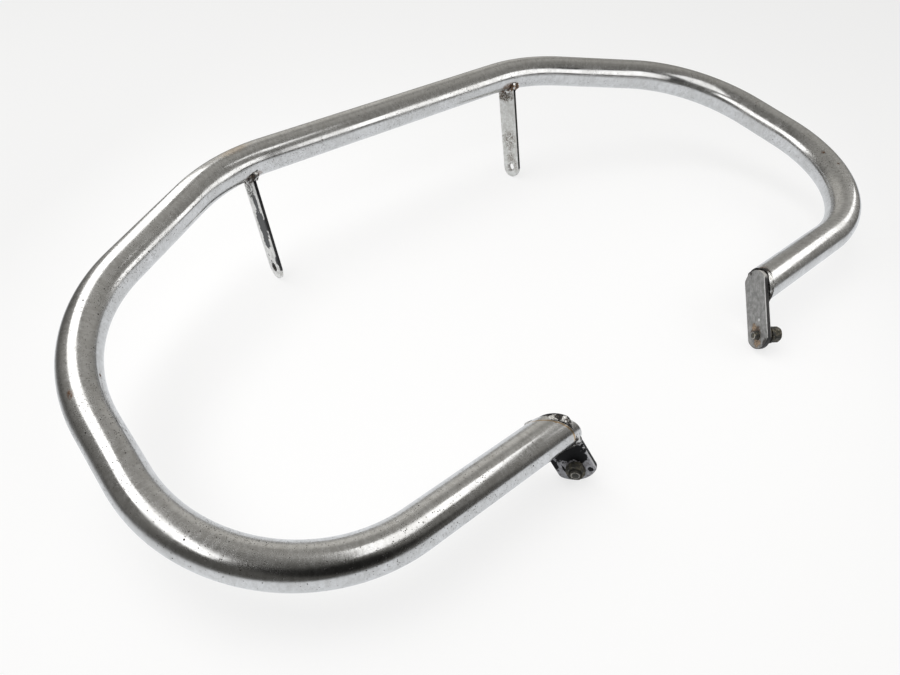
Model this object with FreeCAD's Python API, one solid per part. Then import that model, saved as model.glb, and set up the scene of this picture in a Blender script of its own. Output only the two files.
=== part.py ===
import FreeCAD, Part
import math
import os

from FreeCAD import Placement, Rotation, Vector

# Motorcycle engine guard: one bent tube with two mounting tabs under its middle and a bolted plate on each end.
# Millimetres. It lies as it rests on a floor: +X to its right, +Y to its middle run, +Z up.

# Bent tube, from the middle outwards, the same on both sides
tube_diameter = 31.75
tube_wall = 3.05
middle_run = 310.0
shoulder_angle = 30.0
shoulder_radius = 180.0
shoulder_run = 97.0
side_angle = 60.0
side_radius = 150.0
side_run = 48.0
return_angle = 90.0
return_radius = 133.5
end_run = 130.0

# Mounting tabs
tab_spacing = 354.0
tab_width = 25.4
tab_thickness = 3.2
tab_length = 121.0
tab_lean = 27.3
tab_set_back = 1.0
tab_top_drop = 8.0
tab_hole_diameter = 8.5

# End plates. Each was set by hand, so the two lean and hang differently on the tube.
plate_width = 30.0
plate_thickness = 3.5
plate_end_radius = 18.0
plate_corner_radius = 5.0
plate_overhang = 15.0
plate_hole_to_end = 12.8
plate_hole_diameter = 8.6
plate_turn = 35.0
plate_lean = {"right": 8.0, "left": 14.4}
plate_hang = {"right": 56.8, "left": 45.4}
plate_hole_distance = {"right": 45.4, "left": 38.8}

# Weld beads
tab_weld_leg = 3.5
plate_weld_leg = 2.5
plate_weld_rise = 5.0
weld_toe = 0.6

# Bolts, nuts and washers, size M8
thread_diameter = 8.0
left_bolt_length = 16.0
right_bolt_length = 18.0
bolt_tip_chamfer = 1.0
hex_across_flats = 13.0
head_height = 5.3
nut_height = 6.5
hex_corner_slope = 30.0
flat_washer_diameter = 16.0
flat_washer_thickness = 1.6
spring_washer_diameter = 13.4
spring_washer_thickness = 2.0
spring_washer_split = 1.5
nut_thread_gap = 0.1
washer_bore_gap = 0.2

ORIGIN = Vector(0, 0, 0)
X_AXIS = Vector(1, 0, 0)
Y_AXIS = Vector(0, 1, 0)
Z_AXIS = Vector(0, 0, 1)
tube_radius = tube_diameter / 2


def direction(heading):
    """Unit vector in the tube's plane, at a heading in degrees from +X."""
    turn = math.radians(heading)
    return Vector(math.cos(turn), math.sin(turn), 0)


def straight(start, heading, length):
    end = start + direction(heading) * length
    return Part.LineSegment(start, end).toShape(), end


def bend(start, heading, angle, radius):
    """Arc that turns clockwise, seen from above, by the angle."""
    centre = start + direction(heading - 90) * radius
    middle = centre + direction(heading + 90 - angle / 2) * radius
    end = centre + direction(heading + 90 - angle) * radius
    return Part.Arc(start, middle, end).toShape(), end


def right_path(overrun):
    """Edges of the right half of the tube's centreline, and the point where its end plate crosses it."""
    edges = []
    point = ORIGIN
    heading = 0.0
    legs = [
        (middle_run / 2, shoulder_angle, shoulder_radius),
        (shoulder_run, side_angle, side_radius),
        (side_run, return_angle, return_radius),
    ]
    for length, angle, radius in legs:
        edge, point = straight(point, heading, length)
        edges.append(edge)
        edge, point = bend(point, heading, angle, radius)
        edges.append(edge)
        heading -= angle
    edge, _ = straight(point, heading, end_run + overrun)
    edges.append(edge)
    return edges, point + direction(heading) * end_run, direction(heading)


def swept_tube(radius, overrun):
    """Solid rod along the whole centreline, longer at each end by the overrun."""
    right, end, heading = right_path(overrun)
    left = [edge.mirror(ORIGIN, X_AXIS) for edge in right]
    path = Part.Wire(Part.__sortEdges__(left + right))
    start = end + heading * overrun
    ring = Part.Wire(Part.makeCircle(radius, start, heading))
    return path.makePipeShell([ring], True, False)


def tab_outline(grow):
    """Face of a tab's side, seen along X, grown by an amount all round. Z = 0 is the tube's axis."""
    half = tab_width / 2 + grow
    top = grow - tab_top_drop
    arc_height = tab_width / 2 - tab_length
    corner = Vector(0, half, top)
    spring = Vector(0, half, arc_height)
    lowest = Vector(0, 0, arc_height - half)
    edges = [
        Part.LineSegment(corner, spring).toShape(),
        Part.Arc(spring, lowest, Vector(0, -half, arc_height)).toShape(),
        Part.LineSegment(Vector(0, -half, arc_height), Vector(0, -half, top)).toShape(),
        Part.LineSegment(Vector(0, -half, top), corner).toShape(),
    ]
    return Part.Face(Part.Wire(edges))


def tab_place():
    return Placement(Vector(tab_spacing / 2, tab_set_back, 0), Rotation(X_AXIS, -tab_lean))


def flat_bar(grow):
    """A tab's bar before it is coped to the tube, grown by an amount on every side."""
    thickness = tab_thickness + 2 * grow
    bar = tab_outline(grow).extrude(X_AXIS * thickness)
    bar.translate(X_AXIS * (-thickness / 2))
    return bar


def right_tab(rod):
    hole = Part.makeCylinder(
        tab_hole_diameter / 2,
        2 * tab_thickness,
        Vector(-tab_thickness, 0, tab_width / 2 - tab_length),
        X_AXIS,
    )
    bar = flat_bar(0).cut(hole)
    bar.Placement = tab_place() * bar.Placement
    return bar.cut(rod)


def right_tab_weld(rod, tab):
    """Bead round the tab's coped end, one leg thick over the tab and about as thick over the tube."""
    collar = flat_bar(tab_weld_leg)
    collar.Placement = tab_place() * collar.Placement
    into_bend = (tab_spacing - middle_run) / 2
    along = direction(-math.degrees(math.asin(into_bend / shoulder_radius)))
    tube_centre = Vector(tab_spacing / 2, math.sqrt(shoulder_radius**2 - into_bend**2) - shoulder_radius, 0)
    start = tube_centre - along * tab_width
    near_tube = Part.makeCylinder(tube_radius + tab_weld_leg, 2 * tab_width, start, along)
    return collar.common(near_tube).cut(rod).cut(tab)


def plate_place(end, side):
    """Frame of an end plate as it lies on the right: its origin is where the tube's axis meets the
    plate's tube side, Y runs down the plate and Z out of its outer face."""
    lean = math.radians(plate_lean[side])
    outward = direction(180 - plate_turn) * math.cos(lean) - Z_AXIS * math.sin(lean)
    hanging = Z_AXIS * -1 + outward * outward.z
    hanging.normalize()
    along = Rotation(outward, plate_hang[side]).multVec(hanging)
    return Placement(end, Rotation(along.cross(outward), along, outward, "ZYX"))


def plate_outline(side):
    """Face of an end plate with a flat arc at each end and sharp corners."""
    half = plate_width / 2
    arc_rise = plate_end_radius - math.sqrt(plate_end_radius**2 - half**2)
    top = -plate_overhang
    end = plate_hole_distance[side] + plate_hole_to_end
    corners = [
        Vector(-half, top + arc_rise, 0),
        Vector(half, top + arc_rise, 0),
        Vector(half, end - arc_rise, 0),
        Vector(-half, end - arc_rise, 0),
    ]
    edges = [
        Part.Arc(corners[0], Y_AXIS * top, corners[1]).toShape(),
        Part.LineSegment(corners[1], corners[2]).toShape(),
        Part.Arc(corners[2], Y_AXIS * end, corners[3]).toShape(),
        Part.LineSegment(corners[3], corners[0]).toShape(),
    ]
    return Part.Face(Part.Wire(edges))


def end_plate(side):
    plate = plate_outline(side).extrude(Z_AXIS * plate_thickness)
    corners = [edge for edge in plate.Edges if abs(edge.tangentAt(edge.FirstParameter).z) > 0.5]
    plate = plate.makeFillet(plate_corner_radius, corners)
    hole = Part.makeCylinder(plate_hole_diameter / 2, plate_thickness, Y_AXIS * plate_hole_distance[side])
    return plate.cut(hole)


def oval_round_tube(radius, depth, axis):
    """Where a round of this radius on the tube's axis crosses a plane this deep behind the plate."""
    centre = axis * (-depth / axis.z)
    across = Vector(axis.x, axis.y, 0)
    across.normalize()
    long_end = centre + across * (radius / axis.z)
    short_end = centre + Z_AXIS.cross(across) * radius
    return Part.Wire(Part.Ellipse(long_end, short_end, centre).toShape())


def plate_weld(axis):
    """Bead round the tube on the plate's tube side, before the tube is cut out of it."""
    foot = oval_round_tube(tube_radius + plate_weld_leg, 0, axis)
    toe = oval_round_tube(tube_radius + weld_toe, plate_weld_rise, axis)
    return Part.makeLoft([foot, toe], True, True)


def hexagon(height):
    corner = hex_across_flats / 2 / math.cos(math.radians(30))
    points = [direction(angle) * corner for angle in range(0, 361, 60)]
    return Part.Face(Part.makePolygon(points)).extrude(Z_AXIS * height)


def corner_cone(height):
    """Cone that takes the corners off a hexagon's face at Z = 0."""
    flat = hex_across_flats / 2
    return Part.makeCone(flat, flat + height / math.tan(math.radians(hex_corner_slope)), height)


def bolt(length):
    """Hexagon bolt with its head under Z = 0 and its shank up from there."""
    head = hexagon(head_height).common(corner_cone(head_height))
    head.translate(Z_AXIS * -head_height)
    radius = thread_diameter / 2
    plain = length - bolt_tip_chamfer
    shank = Part.makeCylinder(radius, plain)
    tip = Part.makeCone(radius, radius - bolt_tip_chamfer, bolt_tip_chamfer, Z_AXIS * plain)
    return head.fuse([shank, tip]).removeSplitter()


def nut():
    """Hexagon nut standing on Z = 0, with its corners taken off at both faces."""
    lower = corner_cone(nut_height)
    upper = lower.mirror(Z_AXIS * (nut_height / 2), Z_AXIS)
    bore = Part.makeCylinder(thread_diameter / 2 + nut_thread_gap, nut_height)
    return hexagon(nut_height).common(lower).common(upper).cut(bore)


def washer(diameter, thickness):
    """Ring that stands on Z = 0."""
    ring = Part.makeCylinder(diameter / 2, thickness)
    return ring.cut(Part.makeCylinder(thread_diameter / 2 + washer_bore_gap, thickness))


def spring_washer():
    split = Part.makeBox(
        spring_washer_diameter,
        spring_washer_split,
        spring_washer_thickness,
        Vector(0, -spring_washer_split / 2, 0),
    )
    return washer(spring_washer_diameter, spring_washer_thickness).cut(split)


def fastener_set(bolt_length):
    """A bolt with both washers under its head, which is below Z = 0: the seat of the flat washer."""
    spring_seat = flat_washer_thickness + spring_washer_thickness
    pieces = {
        "bolt": bolt(bolt_length),
        "spring_washer": spring_washer(),
        "flat_washer": washer(flat_washer_diameter, flat_washer_thickness),
    }
    pieces["bolt"].translate(Z_AXIS * -spring_seat)
    pieces["spring_washer"].translate(Z_AXIS * -spring_seat)
    pieces["flat_washer"].translate(Z_AXIS * -flat_washer_thickness)
    return pieces


def hardware(side):
    """Nut and bolt in the plate's frame. Both bolts point to the left, so the right one comes through
    its nut from the tube side, and the left one through its plate from the outer face."""
    if side == "right":
        pieces = fastener_set(right_bolt_length)
        seat = Placement(Z_AXIS * -nut_height, Rotation())
    else:
        pieces = fastener_set(left_bolt_length)
        seat = Placement(Z_AXIS * plate_thickness, Rotation(Y_AXIS, 180))
    at_hole = Placement(Y_AXIS * plate_hole_distance[side], Rotation())
    for piece in pieces.values():
        piece.Placement = at_hole * seat * piece.Placement
    pieces["nut"] = nut()
    pieces["nut"].translate(Y_AXIS * plate_hole_distance[side] - Z_AXIS * nut_height)
    return pieces


def right_side(rod, side):
    """Every piece of one side, as it lies on the right."""
    _, end, heading = right_path(0)
    place = plate_place(end, side)
    axis = place.Rotation.inverted().multVec(heading)
    pieces = hardware(side)
    pieces["end_plate"] = end_plate(side)
    pieces["plate_weld"] = plate_weld(axis)
    for piece in pieces.values():
        piece.Placement = place * piece.Placement
    pieces["plate_weld"] = pieces["plate_weld"].cut(rod)
    pieces["tab"] = right_tab(rod)
    pieces["tab_weld"] = right_tab_weld(rod, pieces["tab"])
    return pieces


def beyond_plate(side):
    """Block that cuts an end of the tube back to its plate, as it lies on the right."""
    _, end, _ = right_path(0)
    size = 4 * tube_diameter
    block = Part.makeBox(size, size, size, Vector(-size / 2, -size / 2, 0))
    block.Placement = plate_place(end, side)
    return block


def guard_tube(rod):
    right_cut = beyond_plate("right")
    left_cut = beyond_plate("left").mirror(ORIGIN, X_AXIS)
    bore = swept_tube(tube_radius - tube_wall, tube_diameter)
    return rod.cut([bore, right_cut, left_cut])


def model():
    """All pieces by name, with the tube's centreline in the plane Z = 0."""
    rod = swept_tube(tube_radius, tube_diameter)
    pieces = {"guard_tube": guard_tube(rod)}
    for name, piece in right_side(rod, "right").items():
        pieces["right_" + name] = piece
    for name, piece in right_side(rod, "left").items():
        pieces["left_" + name] = piece.mirror(ORIGIN, X_AXIS)
    return pieces


def turned(shape, tilt):
    """Copy of the shape, turned about X by the tilt in degrees."""
    copy = shape.copy()
    copy.rotate(ORIGIN, X_AXIS, tilt)
    return copy


def lowest(shape, tilt):
    return turned(shape, tilt).optimalBoundingBox(False, False).ZMin


def resting_tilt(pieces):
    """Tilt of the tube's plane at which both tabs' tips and the end of the lower plate touch the floor."""
    low, high = 0.0, 45.0
    while high - low > 1e-6:
        tilt = (low + high) / 2
        lower_plate = min(lowest(pieces[side + "_end_plate"], tilt) for side in ("right", "left"))
        if lowest(pieces["right_tab"], tilt) < lower_plate:
            low = tilt
        else:
            high = tilt
    return tilt


def at_rest(pieces):
    """The pieces as they lie on the floor, over the middle of their own footprint."""
    tilt = resting_tilt(pieces)
    tilted = {name: turned(piece, tilt) for name, piece in pieces.items()}
    box = Part.makeCompound(list(tilted.values())).optimalBoundingBox(False, False)
    shift = Vector(-box.Center.x, -box.Center.y, -box.ZMin)
    for piece in tilted.values():
        piece.translate(shift)
    return tilted


os.makedirs("parts", exist_ok=True)
for name, piece in at_rest(model()).items():
    piece.exportStep("parts/" + name + ".step")
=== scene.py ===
import math

import bmesh
import bpy
import numpy as np
from mathutils import Matrix, Vector, noise


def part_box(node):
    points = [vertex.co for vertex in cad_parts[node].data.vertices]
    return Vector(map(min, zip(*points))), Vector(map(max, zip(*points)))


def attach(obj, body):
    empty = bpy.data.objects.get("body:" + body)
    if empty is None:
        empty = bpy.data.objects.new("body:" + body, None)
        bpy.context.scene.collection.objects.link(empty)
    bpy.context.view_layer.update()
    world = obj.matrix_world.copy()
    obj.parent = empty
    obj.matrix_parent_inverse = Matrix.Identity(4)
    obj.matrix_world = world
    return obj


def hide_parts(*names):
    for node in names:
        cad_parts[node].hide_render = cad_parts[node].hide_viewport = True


# Motorcycle engine guard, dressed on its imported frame. Metres, +X to the guard's right,
# +Y towards the middle run, +Z up. The guard lies on a pale floor.

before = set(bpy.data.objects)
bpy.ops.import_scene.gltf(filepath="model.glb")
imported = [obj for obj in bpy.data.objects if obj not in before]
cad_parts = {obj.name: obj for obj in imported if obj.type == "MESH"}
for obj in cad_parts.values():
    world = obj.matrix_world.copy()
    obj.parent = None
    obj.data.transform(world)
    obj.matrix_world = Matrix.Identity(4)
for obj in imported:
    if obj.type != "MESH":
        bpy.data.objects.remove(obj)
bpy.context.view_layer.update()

# Millimetres in a metre. What a material reads off its mesh is in millimetres.
MM = 1000

# Bent tube, the same on both sides, in the plane of its own centreline. Each leg is a straight
# length, the angle of the bend after it and that bend's radius.
TUBE_RADIUS = 0.015875
TUBE_WALL = 0.00305
TUBE_AROUND, TUBE_STEP = 96, 0.0026
BORE_AROUND, BORE_STEP = 40, 0.008
LEGS = [(0.155, 30.0, 0.180), (0.097, 60.0, 0.150), (0.048, 90.0, 0.1335), (0.130, 0.0, 1.0)]
TUBE_TILT = math.radians(10.6952930)
TUBE_SHIFT = Vector((0.0, 0.20203718, 0.11629821))

# The tube's skin lies a hair under its full size, and a flat is worn on its left shoulder
SKIN_GAP = 0.00006
FLAT_PLACE = -0.210
FLAT_REACH = 0.016
FLAT_TURN = math.radians(142.0)
FLAT_DEPTH = 0.0007

# End plates
PLATE_TURN = 35.0
PLATE_LEAN = {"right": math.radians(8.0), "left": math.radians(14.4)}
PLATE_HANG = {"right": math.radians(56.8), "left": math.radians(45.4)}
HOLE_DISTANCE = {"right": 0.0454, "left": 0.0388}
PLATE_WIDTH = 0.030
PLATE_THICKNESS = 0.0035
PLATE_END_RADIUS = 0.018
PLATE_CORNER = 0.005
PLATE_OVERHANG = 0.015
HOLE_TO_END = 0.0128
PLATE_HOLE_RADIUS = 0.0043

# Tabs. Their zero is a little outwards of the tube's centreline.
TAB_X = 0.177
TAB_OUTWARDS = 0.001
TAB_LEAN = math.radians(-27.3)
TAB_HALF = 0.0127
TAB_THICK = 0.0032
TAB_LENGTH = 0.121
TAB_HOLE_RADIUS = 0.00425

# Rounded edges of plates and tabs, and the number of points round their holes
EDGE = 0.0004
HOLE_POINTS = 32

# M8 bolts and nuts
BOLT_LENGTH = {"right": 0.018, "left": 0.016}
FASTENER_AROUND = 60
HEX_FLATS = 0.013
HEX_CORNER = 0.992
HEX_FACE = 0.97
HEAD_HEIGHT = 0.0053
HEAD_MIDDLE = 0.0005
CHAMFER_STEP = 0.0002
NUT_HEIGHT = 0.0065
NUT_CLEARANCE = 0.0001
SPRING_SEAT = 0.0036
THREAD_RADIUS = 0.004
THREAD_SINK = 0.00003
THREAD_PITCH = 0.00125
THREAD_DEPTH = 0.00068
ROWS_PER_PITCH = 10
TIP_CHAMFER = 0.0009

# Weld beads: the size of a face, the lumps on the tabs' and the plates' beads, and how far across and
# up its plate a plate's bead reaches before it is drawn in
BEAD_VOXEL = 0.00045
TAB_LUMP = 0.0007
PLATE_LUMP = 0.0006
PLATE_BEAD_REACH = (0.0152, 0.0148)

REST = Matrix.Translation(TUBE_SHIFT) @ Matrix.Rotation(TUBE_TILT, 4, "X")
MIRROR = Matrix.Scale(-1, 4, (1, 0, 0))


def heading_vector(degrees):
    turn = math.radians(degrees)
    return Vector((math.cos(turn), math.sin(turn), 0.0))


def tube_end():
    """Where the right end plate crosses the tube's axis, and the tube's heading there, in its own plane."""
    end = Vector((0, 0, 0))
    heading = 0.0
    for length, angle, radius in LEGS:
        end += heading_vector(heading) * length
        if angle:
            centre = end + heading_vector(heading - 90) * radius
            end = centre + heading_vector(heading + 90 - angle) * radius
            heading -= angle
    return end, heading_vector(heading)


END_POINT, END_HEADING = tube_end()


def plate_turn(side):
    """Axes of an end plate as it lies on the right: across it, down it and out of its outer face."""
    lean = PLATE_LEAN[side]
    out = heading_vector(180 - PLATE_TURN) * math.cos(lean)
    out.z = -math.sin(lean)
    hanging = (Vector((0, 0, -1)) + out * out.z).normalized()
    down = Matrix.Rotation(PLATE_HANG[side], 3, out) @ hanging
    return Matrix((down.cross(out), down, out)).transposed()


def plate_place(side):
    """Turns an end plate's own frame into the guard's, and says whether that mirrors it."""
    place = REST @ Matrix.Translation(END_POINT) @ plate_turn(side).to_4x4()
    return (place, False) if side == "right" else (MIRROR @ place, True)


# Nodes of a material, written as calls


class Shader:
    """Short calls that add nodes to one material and join them."""

    def __init__(self, name):
        self.material = bpy.data.materials.new(name)
        self.material.use_nodes = True
        self.tree = self.material.node_tree
        self.surface = self.tree.nodes["Principled BSDF"]

    def node(self, kind, **sockets):
        node = self.tree.nodes.new(kind)
        for name, value in sockets.items():
            self.put(node, name.replace("_", " "), value)
        return node

    def put(self, node, name, value):
        socket = node.inputs[int(name)] if name.isdigit() else node.inputs[name]
        if isinstance(value, bpy.types.NodeSocket):
            self.tree.links.new(value, socket)
        elif socket.type == "RGBA" and len(value) == 3:
            socket.default_value = (*value, 1.0)
        else:
            socket.default_value = value

    def attribute(self, name):
        node = self.tree.nodes.new("ShaderNodeAttribute")
        node.attribute_name = name
        return node.outputs["Vector"]

    def stretch(self, vector, scale, shift=(0, 0, 0)):
        node = self.node("ShaderNodeMapping", Vector=vector, Scale=scale, Location=shift)
        return node.outputs["Vector"]

    def noise(self, vector, scale, detail, roughness):
        node = self.node("ShaderNodeTexNoise", Vector=vector, Scale=scale, Detail=detail, Roughness=roughness)
        return node.outputs["Fac"]

    def cells(self, vector, scale):
        """Distance to the middle of the nearest of many scattered cells, and that cell's own colour."""
        node = self.node("ShaderNodeTexVoronoi", Vector=vector, Scale=scale)
        return node.outputs["Distance"], node.outputs["Color"]

    def ramp(self, value, low, high, to_low=0.0, to_high=1.0):
        node = self.node("ShaderNodeMapRange")
        node.interpolation_type = "SMOOTHSTEP"
        for name, number in (("From Min", low), ("From Max", high), ("To Min", to_low), ("To Max", to_high)):
            self.put(node, name, number)
        self.put(node, "Value", value)
        return node.outputs["Result"]

    def math(self, operation, first, second=0.0):
        node = self.tree.nodes.new("ShaderNodeMath")
        node.operation = operation
        self.put(node, "0", first)
        self.put(node, "1", second)
        return node.outputs[0]

    def all_of(self, *values):
        result = values[0]
        for value in values[1:]:
            result = self.math("MULTIPLY", result, value)
        return result

    def any_of(self, *values):
        result = values[0]
        for value in values[1:]:
            result = self.math("MAXIMUM", result, value)
        return result

    def split(self, vector):
        node = self.node("ShaderNodeSeparateXYZ", Vector=vector)
        return node.outputs[0], node.outputs[1], node.outputs[2]

    def mix(self, share, first, second):
        node = self.tree.nodes.new("ShaderNodeMix")
        node.data_type = "RGBA"
        self.put(node, "0", share)
        self.put(node, "6", first)
        self.put(node, "7", second)
        return node.outputs[2]

    def blend(self, share, first, second):
        node = self.tree.nodes.new("ShaderNodeMix")
        self.put(node, "0", share)
        self.put(node, "2", first)
        self.put(node, "3", second)
        return node.outputs[0]

    def vectors(self, operation, first, second=(0, 0, 0)):
        node = self.tree.nodes.new("ShaderNodeVectorMath")
        node.operation = operation
        self.put(node, "0", first)
        self.put(node, "1", second)
        return node.outputs

    def near(self, vector, point, inner, outer):
        """1 within the inner distance of the point, 0 beyond the outer."""
        distance = self.vectors("DISTANCE", vector, point)["Value"]
        return self.ramp(distance, inner, outer, 1.0, 0.0)

    def patch(self, vector, centre, radii, wobble=None, soft=0.12):
        """1 inside an ellipsoid about the centre. The wobble makes its edge ragged."""
        away = self.vectors("SUBTRACT", vector, centre)["Vector"]
        scaled = self.vectors("DIVIDE", away, radii)["Vector"]
        distance = self.vectors("LENGTH", scaled)["Value"]
        if wobble is not None:
            distance = self.math("ADD", distance, wobble)
        return self.ramp(distance, 1 - soft, 1 + soft, 1.0, 0.0)

    def ragged(self, vector, scale, amount):
        """Noise about zero, as large as the amount."""
        grain = self.noise(vector, scale, 4.0, 0.65)
        return self.math("MULTIPLY", self.math("SUBTRACT", grain, 0.5), amount * 3.0)

    def bump(self, height, millimetres, strength):
        node = self.node("ShaderNodeBump", Height=height, Distance=millimetres / MM, Strength=strength)
        return node.outputs["Normal"]

    def overlay(self, share, shader):
        """Shows another shader in the place of the surface, by the share."""
        both = self.tree.nodes.new("ShaderNodeMixShader")
        self.put(both, "0", share)
        self.put(both, "1", self.surface.outputs[0])
        self.put(both, "2", shader.outputs[0])
        self.tree.links.new(both.outputs[0], self.tree.nodes["Material Output"].inputs["Surface"])

    def finish(self, **sockets):
        for name, value in sockets.items():
            self.put(self.surface, name.replace("_", " "), value)
        return self.material


# Meshes


def new_object(name, verts, faces, smooth=True):
    mesh = bpy.data.meshes.new(name)
    mesh.from_pydata([tuple(v) for v in verts], [], faces)
    mesh.validate()
    mesh.update()
    if smooth:
        mesh.polygons.foreach_set("use_smooth", [True] * len(mesh.polygons))
    piece = bpy.data.objects.new(name, mesh)
    bpy.context.scene.collection.objects.link(piece)
    return piece


def set_vectors(piece, name, values):
    attribute = piece.data.attributes.new(name, "FLOAT_VECTOR", "POINT")
    attribute.data.foreach_set("vector", np.asarray(values, np.float32).ravel())


def half_stations(step):
    """Points, headings and arc lengths along the right half, up to the start of its last straight."""
    points, headings, lengths = [Vector((0, 0, 0))], [0.0], [0.0]
    point, heading, travelled = Vector((0, 0, 0)), 0.0, 0.0
    for length, angle, radius in LEGS[:-1]:
        count = max(2, round(length / step))
        for i in range(1, count + 1):
            points.append(point + heading_vector(heading) * (length * i / count))
            headings.append(heading)
            lengths.append(travelled + length * i / count)
        point, travelled = points[-1], travelled + length
        centre = point + heading_vector(heading - 90) * radius
        arc = math.radians(angle) * radius
        count = max(2, round(arc / step))
        for i in range(1, count + 1):
            turn = angle * i / count
            points.append(centre + heading_vector(heading + 90 - turn) * radius)
            headings.append(heading - turn)
            lengths.append(travelled + arc * i / count)
        point, heading, travelled = points[-1], heading - angle, travelled + arc
    return points, headings, lengths


def tube_surface(radius, around, step, inward=None):
    """Rings of the whole tube from its left end to its right end, cut at the plates' tube sides."""
    right_rings, right_coords = half_tube(radius, around, step, inward, "right")
    left_rings, left_coords = half_tube(radius, around, step, inward, "left")
    left_rings = [[Vector((-v.x, v.y, v.z)) for v in row] for row in left_rings[:0:-1]]
    left_coords = [[(-c[0], c[1], c[2]) for c in row] for row in left_coords[:0:-1]]
    return left_rings + right_rings, left_coords + right_coords


def half_tube(radius, around, step, inward, side):
    """Rings of half the tube, as it lies on the right, from the middle to its end plate."""
    points, headings, lengths = half_stations(step)
    out = plate_turn(side).col[2]
    sign = 1 if side == "right" else -1
    last = LEGS[-1][0]
    rings, coords = [], []
    angles = [2 * math.pi * k / around for k in range(around)]
    up = Vector((0, 0, 1))

    def ring(point, heading, length, share=None):
        outwards = heading_vector(heading + 90)
        row, straight = [], []
        for angle in angles:
            offset = outwards * math.cos(angle) + up * math.sin(angle)
            along = 0.0
            if share is not None:
                cut = last - offset.dot(out) * radius / END_HEADING.dot(out)
                along = cut * share
            r = radius
            if inward is not None:
                r -= inward(sign * (length + along), angle)
            row.append(point + offset * r + heading_vector(heading) * along)
            straight.append([c * MM for c in (length + along, r * math.cos(angle), r * math.sin(angle))])
        rings.append(row)
        coords.append(straight)

    for point, heading, length in zip(points, headings, lengths):
        ring(point, heading, length)
    count = round(last / step)
    for i in range(1, count + 1):
        ring(points[-1], headings[-1], lengths[-1], i / count)
    return rings, coords


def worn(length, angle):
    """How far the tube's skin lies under its full size."""
    along = (length - FLAT_PLACE) / FLAT_REACH
    round_it = math.cos(angle - FLAT_TURN)
    flat = max(0.0, round_it) ** 6 * math.exp(-along * along)
    return SKIN_GAP + FLAT_DEPTH * flat


def grid_faces(rows, around, flip=False, first=0):
    """Quads that join rings of points, each ring to the next."""
    faces = []
    for i in range(rows - 1):
        for k in range(around):
            a = first + i * around + k
            b = first + i * around + (k + 1) % around
            quad = (a, b, b + around, a + around)
            faces.append(quad[::-1] if flip else quad)
    return faces


def guard_tube():
    """The tube's skin and bore, open at both ends.

    Each point holds its place along the straightened tube (arc length, outwards, up) and its distances
    beyond the left and the right plate's tube side.
    """
    rings, coords = tube_surface(TUBE_RADIUS, TUBE_AROUND, TUBE_STEP, worn)
    verts = [REST @ v for row in rings for v in row]
    straight = [c for row in coords for c in row]
    faces = grid_faces(len(rings), TUBE_AROUND)
    bore, bore_coords = tube_surface(TUBE_RADIUS - TUBE_WALL, BORE_AROUND, BORE_STEP)
    faces += grid_faces(len(bore), BORE_AROUND, True, len(verts))
    verts += [REST @ v for row in bore for v in row]
    straight += [c for row in bore_coords for c in row]
    piece = new_object("chromed_tube", verts, faces)
    set_vectors(piece, "straight", straight)
    planes = [plate_place(side)[0].inverted() for side in ("left", "right")]
    set_vectors(piece, "ends", [[(plane @ v).z * MM for plane in planes] + [0.0] for v in verts])
    return piece


# Marks on the chrome, each as a place (arc length, outwards, up) and a size, in mm
PIT_CROWDS = [
    ((-335.0, -13.0, 9.0), (60.0, 6.0, 7.0)),
    ((-480.0, -9.0, 12.0), (50.0, 8.0, 8.0)),
    ((-640.0, -6.0, 14.0), (70.0, 8.0, 7.0)),
    ((-110.0, -14.0, -6.0), (90.0, 7.0, 7.0)),
    ((-20.0, 8.0, 13.0), (90.0, 8.0, 8.0)),
    ((620.0, -9.0, 12.0), (70.0, 10.0, 10.0)),
    ((810.0, -4.0, 14.0), (60.0, 9.0, 9.0)),
    ((480.0, 2.0, 15.0), (80.0, 7.0, 7.0)),
]
RUST_SPOTS = [
    ((612.0, -7.9, 13.8), (2.2, 1.8, 1.8)),
    ((636.0, -3.3, 15.6), (1.8, 1.5, 1.5)),
    ((-482.0, 6.5, 14.5), (4.0, 2.4, 2.4)),
    ((-467.0, -14.2, 7.2), (1.3, 1.1, 1.1)),
    ((886.0, -8.7, 13.3), (4.5, 4.0, 4.0)),
    ((-178.0, -15.0, -5.5), (10.0, 4.5, 4.5)),
    ((169.0, -15.4, -4.0), (12.0, 4.5, 4.5)),
]


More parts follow.
